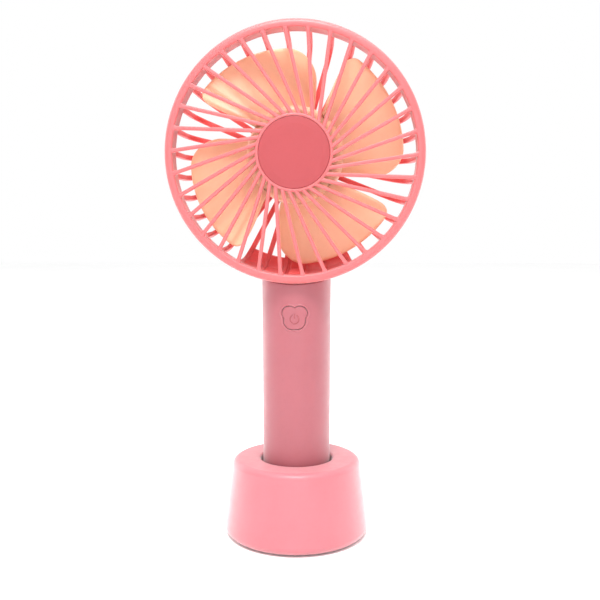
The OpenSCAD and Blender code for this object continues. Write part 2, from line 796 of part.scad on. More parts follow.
module blade() {
    row = span_steps + 1;
    sheet = (chord_steps + 1) * row;
    points = [for (face = [1, -1], i = [0:chord_steps], j = [0:span_steps])
        blade_point((1 - cos(180 * i / chord_steps)) / 2, j / span_steps, face)];
    cells = [for (i = [0:chord_steps - 1], j = [0:span_steps - 1]) i * row + j];
    front = [for (a = cells) each [[a, a + row + 1, a + 1], [a, a + row, a + row + 1]]];
    back = [for (f = front) [f[0] + sheet, f[2] + sheet, f[1] + sheet]];
    border = concat(
        [for (j = [0:span_steps - 1]) j],
        [for (i = [0:chord_steps - 1]) i * row + span_steps],
        [for (j = [span_steps:-1:1]) chord_steps * row + j],
        [for (i = [chord_steps:-1:1]) i * row]);
    n = len(border);
    edge = [for (k = [0:n - 1]) let (a = border[k], b = border[(k + 1) % n])
        each [[a, b + sheet, a + sheet], [a, b, b + sheet]]];
    polyhedron(points, concat(front, back, edge), convexity = 6);
}

module impeller() {
    inner_r = impeller_hub_r - hub_wall;
    hub = concat(
        [[2.4, 2], [4.5, 2], [4.5, hub_front - hub_wall], [inner_r, hub_front - hub_wall],
         [inner_r, hub_back], [impeller_hub_r, hub_back]],
        arc([impeller_hub_r - 2.5, hub_front - 2.5], 2.5, 0, 90),
        [[0, hub_front], [0, 9.5], [2.4, 9.5]]);
    color(peach) facing_front(head_z) {
        rotate_extrude() polygon(hub);
        for (i = [0:blade_count - 1]) rotate([0, 0, i * 360 / blade_count]) blade();
    }
}

module hub_insert() {
    color("goldenrod") facing_front(head_z) tube(shaft_r, 2.4, 2.2, 9.4);
}

module motor_shaft() {
    color("silver") facing_front(head_z) translate([0, 0, can_back - 1.6])
        cylinder(r = shaft_r, h = 8.6 - can_back + 1.6, $fn = 48);
}

module armature_core() {
    core_back = can_back + 4;
    color("slategray") facing_front(head_z) translate([0, 0, core_back]) linear_extrude(5) difference() {
        union() {
            circle(r = 3);
            for (a = [90, 210, 330]) rotate(a) {
                translate([0, -1.3]) square([8.6, 2.6]);
                intersection() {
                    difference() {
                        circle(r = 8.9);
                        circle(r = 7.7);
                    }
                    polygon([[0, 0], [12, -12 * tan(50)], [12, 12 * tan(50)]]);
                }
            }
        }
        circle(r = shaft_r, $fn = 48);
    }
}

module armature_windings() {
    color("chocolate") facing_front(head_z) translate([0, 0, can_back + 3]) difference() {
        for (a = [90, 210, 330]) rotate([0, 0, a]) translate([3.3, -2.2, 0]) cube([3.9, 4.4, 7]);
        for (a = [90, 210, 330]) rotate([0, 0, a]) translate([3, -1.3, 1]) cube([5, 2.6, 5]);
    }
}

module commutator() {
    color("orange") facing_front(head_z) tube(shaft_r, 2.6, can_back + 1.5, can_back + 3);
}

// ---------- nodes ----------

base_shell();
base_bottom_plate();
ballast_ring();
foot_pad();
base_screws();
socket_pad();
handle_front_shell();
handle_rear_shell();
handle_screws();
power_button();
switch_body();
switch_plunger();
circuit_board();
board_chips();
board_inductor();
indicator_led();
light_pipe();
charging_port_shell();
charging_port_tongue();
battery_cell();
battery_terminal();
positive_contact();
battery_lead();
negative_strip();
battery_collar();
battery_cap();
battery_spring();
front_grille();
badge_disc();
rear_grille();
motor_rear_cover();
motor_can();
motor_end_cap();
motor_bushes();
motor_magnets();
motor_brushes();
motor_terminals();
motor_screws();
motor_lead_red();
motor_lead_black();
impeller();
hub_insert();
motor_shaft();
armature_core();
armature_windings();
commutator();
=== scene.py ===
"""The looks of a handheld electric fan in its desk stand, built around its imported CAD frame.

Lengths are in millimetres until a mesh is made, and metres in Blender. Head pieces are drawn in
the head's own frame: x to the right and y up as seen from the front, z forwards from the handle's
axis. Stand and handle pieces are drawn in the row frame.
"""

import math

import bmesh
import bpy
from mathutils import Matrix, Vector


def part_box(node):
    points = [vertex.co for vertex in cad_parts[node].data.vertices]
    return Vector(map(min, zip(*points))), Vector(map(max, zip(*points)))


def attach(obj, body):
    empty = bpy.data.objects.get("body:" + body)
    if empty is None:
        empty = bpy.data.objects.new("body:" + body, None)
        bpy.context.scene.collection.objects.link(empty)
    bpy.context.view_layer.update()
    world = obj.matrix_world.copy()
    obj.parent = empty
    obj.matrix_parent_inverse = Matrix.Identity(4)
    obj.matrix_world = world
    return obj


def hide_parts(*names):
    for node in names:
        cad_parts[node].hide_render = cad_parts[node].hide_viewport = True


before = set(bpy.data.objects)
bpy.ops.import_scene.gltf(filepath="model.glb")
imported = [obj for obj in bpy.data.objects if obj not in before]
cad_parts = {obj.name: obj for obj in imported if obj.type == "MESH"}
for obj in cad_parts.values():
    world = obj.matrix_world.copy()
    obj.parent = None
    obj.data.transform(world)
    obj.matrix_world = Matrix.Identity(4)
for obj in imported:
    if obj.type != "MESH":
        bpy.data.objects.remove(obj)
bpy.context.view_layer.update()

MM = 0.001


def box_mm(node):
    """Lowest and highest corner of a CAD node, in millimetres."""
    low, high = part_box(node)
    return low / MM, high / MM


# Driving sizes, from the frame
STAND_LOW, STAND_HIGH = box_mm("base_shell")
RING_LOW, RING_HIGH = box_mm("front_grille")
SHELL_LOW, SHELL_HIGH = box_mm("handle_rear_shell")
CAP_LOW, CAP_HIGH = box_mm("battery_cap")
PORT_LOW, PORT_HIGH = box_mm("charging_port_shell")
LIGHT_LOW, LIGHT_HIGH = box_mm("light_pipe")
SCREW_LOW, SCREW_HIGH = box_mm("handle_screws")
BADGE_HIGH = box_mm("badge_disc")[1]
BACK_HIGH = box_mm("motor_rear_cover")[1]
BUTTON_HIGH = box_mm("power_button")[1]

HEAD_Z = (RING_LOW.z + RING_HIGH.z) / 2
HEAD_R = RING_HIGH.x
HEAD_FRONT = -RING_LOW.y
BADGE_R = BADGE_HIGH.x

# Stand
STAND_TOP_R = 27.5
STAND_ROUND = 3
STAND_WALL = 2.2
SOCKET_R = 15.4
SOCKET_FLOOR = 7
SOCKET_WALL = 2
PLATE_RECESS_R = 26
PLATE_TOP = 2.6

# Front grille: a ring with a tenon behind it, and straight spokes to a hub
RING_W = 3.5
RING_BACK = HEAD_FRONT - 5
TENON_BACK = -RING_HIGH.y
TENON_R = HEAD_R - 2
HUB_R = 15.7
HUB_T = 2.4
BADGE_T = 0.8
SPOKES = 34
FIRST_SPOKE = -1.1  # degrees
SPOKE_SWEEP = 22.5  # degrees from a spoke's outer end to its inner end
SPOKE_W = 1.5
SPOKE_T = 1.7

# Rear grille: the dome's section as (radius, z) points
RIM_FRONT = RING_BACK - 0.2
RIM_BACK = RING_BACK - 4
RIM_BORE = TENON_R + 0.3
DOME_CORNER = 11
DOME_C = (39.5, -3)
DOME_FRONT = (52, RIM_BACK + 0.5)
DOME_BACK = (16, -17)
RIB_W = 2.2
RIB_DEPTH = 2.2
SPINE_W = 6
SPINE_DEPTH = 3.4
WEB_INSET = 0.25
CHIN_ANGLE = 57  # degrees round the head
CHIN_CORNER = 66  # degrees round the dome's corner
CUP_R = 14.2
CUP_BORE = 12.3
CUP_BACK = -17.2

# Impeller
BLADES = 4
BLADE_R = 45
BLADE_T = 1.5
BLADE_HUB_R = 19.8
HUB_FRONT = 12
HUB_BACK = -4
LEAD_ROUND = 12
TRAIL_ROUND = 5
CHORD = 60
LEAD_ANGLE = -21  # degrees, at the root
LEAD_SWEEP = 0.45  # degrees for each millimetre outwards
TRAIL_ANGLE = 56  # degrees, at the root
TRAIL_BULGE = 4.5  # degrees
TRAIL_RISE = 2

# Handle
HANDLE_Z = CAP_LOW.z
HANDLE_R = 14.3
HANDLE_TOP_R = SHELL_HIGH.x
HANDLE_TOP = 113
SHELL_Z = SHELL_LOW.z
WALL = 1.6
SHOULDER_R = 7
ROOF_EDGE = 6.2
# (x, z, radius) of the lobes on one side of the button
BUTTON_LOBES = ((2.15, 1.75, 3.0), (0.9, -1.3, 3.5))
BUTTON_FLANGE = 0.6
BUTTON_Z = BUTTON_HIGH.z - BUTTON_FLANGE - BUTTON_LOBES[0][1] - BUTTON_LOBES[0][2]
BUTTON_GAP = 0.25
BUTTON_PROUD = 0.2
BUTTON_BACK = -BUTTON_HIGH.y


# ---------- small mathematics ----------


def mix(a, b, t):
    """The value a share t of the way from a to b."""
    return a + (b - a) * t


def smooth(t):
    """0 below 0, 1 above 1, and an even curve between."""
    t = min(max(t, 0), 1)
    return t * t * (3 - 2 * t)


def spread(a, b, count):
    """count + 1 even values from a to b."""
    return [mix(a, b, i / count) for i in range(count + 1)]


def filleted(corners, steps=6):
    """A closed outline from (x, y, radius) corners, each rounded to its radius."""
    points = []
    for i, (x, y, radius) in enumerate(corners):
        here = Vector((x, y))
        if radius == 0:
            points.append(here)
            continue
        before = (Vector(corners[i - 1][:2]) - here).normalized()
        after = (Vector(corners[(i + 1) % len(corners)][:2]) - here).normalized()
        half = before.angle(after) / 2
        centre = here + (before + after).normalized() * (radius / math.sin(half))
        reach = radius / math.tan(half)
        start, end = here + before * reach - centre, here + after * reach - centre
        sweep = start.angle_signed(end)
        for k in range(steps + 1):
            turn = -sweep * k / steps
            cos, sin = math.cos(turn), math.sin(turn)
            points.append(centre + Vector((start.x * cos - start.y * sin, start.x * sin + start.y * cos)))
    return points


def head(x, y, z):
    """A point of the head's frame in the row frame."""
    return Vector((x, -z, HEAD_Z + y))


def upright(x, y, z):
    """A point that is already in the row frame."""
    return Vector((x, y, z))


# ---------- meshes ----------

WELD = 2e-7  # metres within which points become one


def lathe(profile, place=head, steps=160, start=0, span=360):
    """A closed profile of (radius, height) turned about the z axis of a frame."""
    whole = span == 360
    columns = steps if whole else steps + 1
    points = []
    for i in range(columns):
        angle = math.radians(start + span * i / steps)
        points += [place(p.x * math.cos(angle), p.x * math.sin(angle), p.y) for p in profile]
    n = len(profile)
    faces = []
    for i in range(steps):
        a, b = i * n, (i + 1) % columns * n
        faces += [(a + k, a + (k + 1) % n, b + (k + 1) % n, b + k) for k in range(n)]
    if not whole:
        faces += [tuple(range(n)), tuple(range(steps * n, (steps + 1) * n))]
    return points, faces


def loft(rings, closed_ends=True):
    """A skin over rings that have the same number of points."""
    n = len(rings[0])
    points = [p for ring in rings for p in ring]
    faces = [
        (i * n + k, i * n + (k + 1) % n, (i + 1) * n + (k + 1) % n, (i + 1) * n + k)
        for i in range(len(rings) - 1)
        for k in range(n)
    ]
    if closed_ends:
        faces += [tuple(range(n)), tuple(range((len(rings) - 1) * n, len(rings) * n))]
    return points, faces


def joined(parts):
    """Several (points, faces) parts as one."""
    points, faces = [], []
    for part_points, part_faces in parts:
        base = len(points)
        points += part_points
        faces += [tuple(base + k for k in face) for face in part_faces]
    return points, faces


def bar_section(width, depth, radius, steps=3):
    """A rounded rectangle about the origin."""
    w, d = width / 2, depth / 2
    corners = [(-w, -d, radius), (w, -d, radius), (w, d, radius), (-w, d, radius)]
    return filleted(corners, steps)


def build(name, part, material, body, replaced, sharp=40):
    """A smooth-shaded object of a mesh in millimetres that rides on a body and stands for CAD nodes."""
    points, faces = part
    mesh = bpy.data.meshes.new(name)
    mesh.from_pydata([p * MM for p in points], [], faces)
    work = bmesh.new()
    work.from_mesh(mesh)
    bmesh.ops.remove_doubles(work, verts=work.verts, dist=WELD)
    bmesh.ops.dissolve_degenerate(work, edges=work.edges, dist=WELD / 2)
    bmesh.ops.recalc_face_normals(work, faces=work.faces)
    for face in work.faces:
        face.smooth = True
    limit = math.radians(sharp)
    for edge in work.edges:
        edge.smooth = len(edge.link_faces) == 2 and edge.calc_face_angle() < limit
    work.to_mesh(mesh)
    work.free()
    piece = bpy.data.objects.new(name, mesh)
    bpy.context.scene.collection.objects.link(piece)
    mesh.materials.append(material)
    weighted = piece.modifiers.new("even_shading", "WEIGHTED_NORMAL")
    weighted.keep_sharp = True
    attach(piece, body)
    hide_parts(*replaced)
    return piece


# ---------- materials ----------


class Nodes:
    """A short way to add and link shader nodes in one material."""

    def __init__(self, name):
        self.material = bpy.data.materials.new(name)
        self.material.use_nodes = True
        self.tree = self.material.node_tree
        self.shader = self.tree.nodes["Principled BSDF"]
        self.where = self.add("ShaderNodeTexCoord").outputs["Object"]

    def add(self, kind, **values):
        node = self.tree.nodes.new(kind)
        for key, value in values.items():
            setattr(node, key, value)
        return node

    def link(self, out, into):
        self.tree.links.new(out, into)

    def noise(self, scale, detail=3, rough=0.5):
        node = self.add("ShaderNodeTexNoise")
        node.inputs["Scale"].default_value = scale
        node.inputs["Detail"].default_value = detail
        node.inputs["Roughness"].default_value = rough
        self.link(self.where, node.inputs["Vector"])
        return node.outputs["Fac"]

    def ramp(self, value, low, high, start=0.3, end=0.7):
        """Colours or greys low to high as a value goes from start to end."""
        node = self.add("ShaderNodeValToRGB")
        node.color_ramp.elements[0].position = start
        node.color_ramp.elements[1].position = end
        node.color_ramp.elements[0].color = low
        node.color_ramp.elements[1].color = high
        self.link(value, node.inputs["Fac"])
        return node.outputs["Color"]

    def bump(self, height, distance, strength=1.0, under=None):
        node = self.add("ShaderNodeBump")
        node.inputs["Strength"].default_value = strength
        node.inputs["Distance"].default_value = distance
        self.link(height, node.inputs["Height"])
        if under is not None:
            self.link(under, node.inputs["Normal"])
        return node.outputs["Normal"]


def grey(value):
    """An opaque grey."""
    return (value, value, value, 1)


def shade(colour, gain):
    """An opaque lighter or darker version of a colour."""
    return tuple(min(c * gain, 1) for c in colour) + (1,)


def srgb(r, g, b):
    """Linear colour of an 8-bit screen colour."""
    return tuple(
        c / 12.92 if c <= 0.04045 else ((c + 0.055) / 1.055) ** 2.4 for c in (r / 255, g / 255, b / 255)
    )


def moulded(name, colour, rough=0.42, grain=1.0, glow=0.2, sheen=0.0):
    """Satin moulded plastic: cloudy pigment, slow sink waves, a fine spark-eroded grain, a soft depth."""
    m = Nodes(name)
    clouds = m.noise(55, 4, 0.6)
    specks = m.noise(900, 2, 0.5)
    tint = m.ramp(clouds, shade(colour, 0.965), shade(colour, 1.03))
    dust = m.ramp(specks, grey(0.97), grey(1.0), 0.25, 0.5)
    blend = m.add("ShaderNodeMix", data_type="RGBA", blend_type="MULTIPLY")
    blend.inputs["Factor"].default_value = 1
    m.link(tint, blend.inputs[6])
    m.link(dust, blend.inputs[7])
    m.link(blend.outputs[2], m.shader.inputs["Base Color"])
    m.link(m.ramp(m.noise(260, 3), grey(rough - 0.05), grey(rough + 0.07)), m.shader.inputs["Roughness"])
    sink = m.bump(m.noise(38, 1), 0.00012, 0.25)
    texture = m.bump(m.noise(5200, 2, 0.6), 0.00002 * grain, 0.55, sink)
    m.link(texture, m.shader.inputs["Normal"])
    m.shader.inputs["IOR"].default_value = 1.49
    m.shader.inputs["Subsurface Weight"].default_value = glow
    m.shader.inputs["Subsurface Radius"].default_value = (1.0, 0.35, 0.25)
    m.shader.inputs["Subsurface Scale"].default_value = 0.0025
    m.shader.inputs["Sheen Weight"].default_value = sheen
    m.shader.inputs["Sheen Roughness"].default_value = 0.45
    return m.material


def metal(name, colour, rough=0.3, drawn=(1, 1, 1), scale=900):
    """Metal with fine drawn or plated streaks; drawn stretches the streaks along an axis."""
    m = Nodes(name)
    mapping = m.add("ShaderNodeMapping")
    mapping.inputs["Scale"].default_value = drawn
    m.link(m.where, mapping.inputs["Vector"])
    m.where = mapping.outputs["Vector"]
    streaks = m.noise(scale, 4, 0.6)
    m.link(m.ramp(streaks, shade(colour, 0.86), shade(colour, 1.06)), m.shader.inputs["Base Color"])
    m.link(m.ramp(streaks, grey(rough - 0.08), grey(rough + 0.12)), m.shader.inputs["Roughness"])
    m.link(m.bump(streaks, 0.00002, 0.4), m.shader.inputs["Normal"])
    m.shader.inputs["Metallic"].default_value = 1
    return m.material


def foam(name, colour):
    """Closed-cell foam or rubber with small open pores."""
    m = Nodes(name)
    cells = m.add("ShaderNodeTexVoronoi")
    cells.inputs["Scale"].default_value = 1800
    m.link(m.where, cells.inputs["Vector"])
    pores = cells.outputs["Distance"]
    # The pore pits are painted darker than the foam between them: painted shade in the pores, where the bump
    # sinks.
    m.link(m.ramp(pores, shade(colour, 0.8), shade(colour, 1.0), 0.05, 0.4), m.shader.inputs["Base Color"])
    m.link(m.bump(pores, 0.00015, 0.5), m.shader.inputs["Normal"])
    m.link(m.ramp(m.noise(300), grey(0.8), grey(0.95)), m.shader.inputs["Roughness"])
    return m.material


def board(name, colour):
    """Solder mask over a pattern of tracks."""
    m = Nodes(name)
    tracks = m.add("ShaderNodeTexBrick")
    tracks.inputs["Scale"].default_value = 260
    tracks.inputs["Color1"].default_value = shade(colour, 1.0)
    tracks.inputs["Color2"].default_value = shade(colour, 0.85)
    tracks.inputs["Mortar"].default_value = shade(colour, 1.5)
    m.link(m.where, tracks.inputs["Vector"])
    m.link(tracks.outputs["Color"], m.shader.inputs["Base Color"])
    m.link(m.ramp(m.noise(500), grey(0.25), grey(0.4)), m.shader.inputs["Roughness"])
    m.link(m.bump(tracks.outputs["Fac"], 0.00003, 0.5), m.shader.inputs["Normal"])
    return m.material


STAND_PINK = moulded("stand_pink", srgb(176, 98, 106), 0.40, sheen=0.4)
HANDLE_PINK = moulded("handle_pink", srgb(150, 79, 87), 0.45, sheen=0.3)
SYMBOL_PINK = moulded("symbol_pink", srgb(138, 66, 72), 0.6)
GRILLE_PINK = moulded("grille_pink", srgb(190, 90, 92), 0.40, glow=0.25, sheen=0.2)
# The rear cage's pink is deeper and redder than the front grille's: painted shade, for the cage and the
# motor's back cap that sit in shade behind the blades and the ring.
CAGE_PINK_PAINTED_SHADE = moulded("cage_pink_painted_shade", srgb(218, 87, 88), 0.42, glow=0.25)
BADGE_PINK = moulded("badge_pink", srgb(152, 52, 57), 0.48, grain=0.6, sheen=0.2)
PEACH = moulded("blade_peach", srgb(222, 168, 136), 0.38, glow=0.3, sheen=0.1)
FOAM = foam("foot_foam", (0.78, 0.77, 0.75))
IRON = metal("ballast_iron", (0.22, 0.22, 0.23), 0.55, scale=400)
SCREW = metal("screw_steel", (0.62, 0.62, 0.64), 0.28)
NICKEL = metal("nickel_plate", (0.72, 0.70, 0.66), 0.2)
BRASS = metal("turned_brass", (0.78, 0.58, 0.25), 0.25, drawn=(1, 6, 1))
COPPER = metal("enamelled_copper", (0.62, 0.24, 0.10), 0.35, drawn=(1, 8, 1))
DRAWN_STEEL = metal("drawn_steel", (0.58, 0.60, 0.62), 0.32, drawn=(1, 5, 1))
FERRITE = moulded("ferrite", (0.03, 0.03, 0.033), 0.6, grain=3, glow=0)
BLACK = moulded("black_plastic", (0.02, 0.02, 0.022), 0.4, glow=0)
NYLON = moulded("natural_nylon", (0.72, 0.69, 0.60), 0.45, glow=0.1)
MILKY = moulded("milky_plastic", (0.86, 0.86, 0.85), 0.3, glow=0.6)
WRAP = moulded("cell_wrap", (0.13, 0.10, 0.42), 0.25, grain=0.4, glow=0)
RED_LEAD = moulded("red_insulation", (0.55, 0.02, 0.02), 0.5, glow=0)
BLACK_LEAD = moulded("black_insulation", (0.02, 0.02, 0.02), 0.5, glow=0)
GREEN_BOARD = board("solder_mask", (0.03, 0.22, 0.07))

# ---------- camera ----------

FOCAL_IN_SIDES = 1.262
SENSOR = 36
CAMERA_TURN = math.radians(3)
CAMERA_PITCH = math.radians(-4.458)
CAMERA_FROM_AXIS = Vector((1.5, -322.7, 126.1))
camera = bpy.data.objects.new("camera", bpy.data.cameras.new("camera"))
bpy.context.scene.collection.objects.link(camera)
camera.data.sensor_width = SENSOR
camera.data.lens = FOCAL_IN_SIDES * SENSOR
camera.location = Matrix.Rotation(CAMERA_TURN, 3, "Z") @ CAMERA_FROM_AXIS * MM
camera.rotation_euler = (math.pi / 2 + CAMERA_PITCH, 0, CAMERA_TURN)
bpy.context.scene.camera = camera

# ---------- stand ----------


def stand_profile():
    """The stand's section: a rounded cone outside, and a socket and a hollow inside."""
    low, high = STAND_LOW.z, STAND_HIGH.z
    slope = (STAND_HIGH.x - STAND_TOP_R) / (high - low - 2 * STAND_ROUND)
    overhang = slope * STAND_ROUND * 0.9  # from the rounding's widest point to its sharp corner
    roof = high - STAND_WALL
    lining = STAND_WALL + 0.1
    return filleted([
        (PLATE_RECESS_R, low, 0.3), (STAND_HIGH.x + overhang, low, 3.1), (STAND_TOP_R - overhang, high, 2.9),
        (SOCKET_R, high, 1.1), (SOCKET_R, SOCKET_FLOOR, 0.6), (0, SOCKET_FLOOR, 0),
        (0, SOCKET_FLOOR - SOCKET_WALL, 0), (SOCKET_R + SOCKET_WALL, SOCKET_FLOOR - SOCKET_WALL, 0.5),
        (SOCKET_R + SOCKET_WALL, roof, 0.8), (STAND_TOP_R - lining, roof, 0.8),
        (STAND_HIGH.x - lining, PLATE_TOP + 3, 0.8), (PLATE_RECESS_R, PLATE_TOP, 0.2)], 8)


def build_pad(name, node, body, low_round, high_round):
    """A foam disc that fills a CAD pad's box, with both edges rounded."""
    low, high = box_mm(node)
    pad = filleted([
        (0, low.z, 0), (high.x, low.z, low_round), (high.x, high.z, high_round), (0, high.z, 0)], 4)
    build(name, lathe(pad, upright), FOAM, body, [node])


def build_stand():
    build("stand_body", lathe(stand_profile(), upright), STAND_PINK, "stand", ["base_shell"])
    build_pad("foot_disc", "foot_pad", "stand", 0.25, 0.15)
    build_pad("socket_disc", "socket_pad", "turning_pad", 0.2, 0.3)


# ---------- handle ----------


def handle_radius(z):
    """The handle widens evenly from its lower end to its top."""
    return mix(HANDLE_R, HANDLE_TOP_R, (z - HANDLE_Z) / (HANDLE_TOP - HANDLE_Z))


def head_underside(x, y):
    """Height of the space kept for the head, over a point of the handle's plan."""
    clear = 0.3
    forward = -y
    corner_r = DOME_C[0] + DOME_CORNER + clear
    if forward >= RIM_BACK:
        reach = HEAD_R + clear
    elif forward >= DOME_C[1]:
        reach = mix(corner_r, HEAD_R + clear, (forward - DOME_C[1]) / (RIM_BACK - DOME_C[1]))
    else:
        reach = DOME_C[0] + math.sqrt(max((DOME_CORNER + clear) ** 2 - (forward - DOME_C[1]) ** 2, 0))
    return HEAD_Z - math.sqrt(reach**2 - x**2)


def shell_top(x, y, inset=0.0):
    """Height of the handle's upper end, with its rounded shoulder at the back."""
    under = head_underside(x, y) - inset
    centre = HANDLE_TOP_R - SHOULDER_R
    if y <= centre:
        return under
    drop = max((SHOULDER_R - inset) ** 2 - (y - centre) ** 2, 0)
    return min(under, HANDLE_TOP - SHOULDER_R + math.sqrt(drop))


class Shell:
    """One half of the handle: columns of points round a closed wall section, with holes patched in."""

    ANGLES = spread(-90, 90, 120)
    LOW_Z = 80.5  # the band with fine rows, where the holes are
    HIGH_Z = 104.5
    FINE = 0.5  # height of a fine row
    EDGE = 0.45  # rounding of the shell's ends

    def __init__(self, front):
        self.side = -1 if front else 1
        self.heights = (
            spread(SHELL_Z + self.EDGE, self.LOW_Z, 16)[:-1]
            + spread(self.LOW_Z, self.HIGH_Z, round((self.HIGH_Z - self.LOW_Z) / self.FINE))
        )
        self.skipped = set()
        self.patches = []

    def at(self, angle, z, inset):
        """A point of the wall at an angle from the half's middle, inset below the outer surface."""
        r = handle_radius(z) - inset
        return Vector((r * math.sin(angle), self.side * r * math.cos(angle), z))

    def over(self, x, z, lift):
        """The point of the outer surface in front of (x, z), lifted along the radius."""
        return self.at(math.asin(x / handle_radius(z)), z, -lift)

    def column(self, angle):
        """One closed section of the wall: up the outside, over the top and down the inside."""
        inner = HANDLE_TOP_R - WALL
        if self.side > 0 and math.cos(angle) > ROOF_EDGE / inner:
            inner = max(SHOULDER_R, ROOF_EDGE / math.cos(angle))
        points = [self.at(angle, SHELL_Z, self.EDGE)]
        points += [self.at(angle, SHELL_Z + self.EDGE * (1 - math.cos(t)), self.EDGE * (1 - math.sin(t)))
                   for t in (0.5, 1.0)]
        self.first_outer = len(points)
        points += [self.at(angle, z, 0) for z in self.heights]
        rim = self.at(angle, HANDLE_TOP, 0)
        top = shell_top(rim.x, rim.y)
        points += [self.at(angle, mix(self.HIGH_Z, top - self.EDGE, t), 0) for t in (0.35, 0.7, 1)]
        for t in (0.35, 0.7, 1):
            turn = t * math.pi / 2
            inset = self.EDGE * (1 - math.cos(turn))
            drop = self.EDGE * (1 - math.sin(turn))
            flat = self.at(angle, HANDLE_TOP, inset)
            points.append(Vector((flat.x, flat.y, shell_top(flat.x, flat.y) - drop)))
        start = HANDLE_TOP_R - self.EDGE
        roof = spread(start, inner, 12)[1:]
        for r in roof:
            x, y = r * math.sin(angle), self.side * r * math.cos(angle)
            points.append(Vector((x, y, shell_top(x, y))))
        for r in reversed(roof):
            r = min(r, HANDLE_TOP_R - WALL)
            x, y = r * math.sin(angle), self.side * r * math.cos(angle)
            points.append(Vector((x, y, shell_top(x, y, WALL))))
        self.first_inner = len(points)
        points += [self.at(angle, z, WALL) for z in reversed(self.heights)]
        points.append(self.at(angle, SHELL_Z, WALL))
        return points

    def block(self, low_angle, high_angle, low_z, high_z):
        """Leaves out a block of the wall's faces; gives the border's points outside and inside."""
        columns = [i for i, a in enumerate(self.ANGLES) if low_angle - 0.1 <= a <= high_angle + 0.1]
        rows = [j for j, z in enumerate(self.heights) if low_z - 0.01 <= z <= high_z + 0.01]
        self.skipped |= {(i, j) for i in columns[:-1] for j in rows[:-1]}
        border = [(i, rows[0]) for i in columns[:-1]] + [(columns[-1], j) for j in rows[:-1]]
        border += [(i, rows[-1]) for i in reversed(columns[1:])]
        border += [(columns[0], j) for j in reversed(rows[1:])]
        spots = [(math.radians(self.ANGLES[i]), self.heights[j]) for i, j in border]
        outside = [self.at(a, z, 0) for a, z in spots]
        inside = [self.at(a, z, WALL) for a, z in spots]
        return outside, inside

    def hole(self, block, centre, outline, rings, pocket=None):
        """Fills a block round a hole, given by rings of (offset from its outline, lift from the wall).

        A pocket, as rings of (offset, y) from its floor up, closes the hole with a boss inside.
        """
        outside, inside = self.block(*block)
        turns = [math.atan2(p.z - centre[1], p.x - centre[0]) for p in outside]

        def ring(offset, lift=0.0, y=None):
            points = []
            for t in turns:
                r = outline(t) + offset
                x, z = centre[0] + r * math.cos(t), centre[1] + r * math.sin(t)
                points.append(self.over(x, z, lift) if y is None else Vector((x, self.side * y, z)))
            return points

        layers = [ring(offset, lift) for offset, lift in rings]
        for t in (0.3, 0.65):
            between = [a.lerp(b, t) for a, b in zip(layers[-1], outside)]
            layers.append([self.over(p.x, p.z, 0) for p in between])
        layers.append(outside)
        caps = [tuple(range(len(outside)))]
        if pocket is None:
            self.patches.append(loft([inside, ring(rings[0][0], -WALL)] + layers, closed_ends=False))
            return
        points, faces = loft([ring(offset, y=y) for offset, y in pocket] + layers, closed_ends=False)
        self.patches.append((points, faces + caps))
        boss = 0.6
        layers = [ring(boss, y=pocket[0][1] - boss), ring(boss, -WALL), inside]
        points, faces = loft(layers, closed_ends=False)
        self.patches.append((points, faces + caps))

    def part(self):
        """The wall without the left-out blocks, with the patches."""
        columns = [self.column(math.radians(a)) for a in self.ANGLES]
        n = len(columns[0])
        faces = []
        count = len(self.heights)
        for i in range(len(columns) - 1):
            for k in range(n):
                outer = k - self.first_outer
                inner = self.first_inner + count - 2 - k
                if (i, outer) in self.skipped or (i, inner) in self.skipped:
                    continue
                faces.append((i * n + k, i * n + (k + 1) % n, (i + 1) * n + (k + 1) % n, (i + 1) * n + k))
        faces += [tuple(range(n)), tuple(range((len(columns) - 1) * n, len(columns) * n))]
        points = [p for column in columns for p in column]
        return joined([(points, faces)] + self.patches)


def button_outline(turn):
    """Radius of the button's soft four-lobed outline in a direction, with gently blended notches."""
    lobes = [(side * x, z, r) for side in (-1, 1) for x, z, r in BUTTON_LOBES]
    soft = 0.12
    total = 0
    for x, z, r in lobes:
        along = x * math.cos(turn) + z * math.sin(turn)
        reach = along + math.sqrt(r * r - (x * x + z * z - along * along))
        total += math.exp(reach / soft)
    return soft * math.log(total)


def circle_outline(r):
    """Radius of a circle in any direction."""
    return lambda turn: r


def slot_outline(w, h):
    """A rectangle of half sides w and h with round corners."""
    power = 6
    return lambda turn: (abs(math.cos(turn) / w) ** power + abs(math.sin(turn) / h) ** power) ** (-1 / power)


def symbol_lift(x, z):
    """Relief of a plain on/off symbol: a ring open at the top, with a short bar in the gap."""
    soft = 0.09
    centre = -0.5
    ring = 0.25 - abs(math.hypot(x, z - centre) - 1.85)
    if z > centre:
        ring = min(ring, abs(x) - 0.75)
    bar = min(0.25 - abs(x), 1.05 - abs(z - 0.75))
    return 0.2 * smooth(max(ring, bar) / soft + 0.5)


def build_front_shell():
    shell = Shell(front=True)
    rim = [
        (BUTTON_GAP + out, lift)
        for out, lift in ((0, -0.2), (0, 0.1), (0.05, 0.18), (0.17, 0.24), (0.4, 0.25), (0.58, 0.2),
                          (0.68, 0.1), (0.8, 0.02), (1.0, 0))
    ]
    shell.hole((-36, 36, 84.5, 104.5), (0, BUTTON_Z), button_outline, rim)
    build("handle_front", shell.part(), HANDLE_PINK, "handle", ["handle_front_shell"])


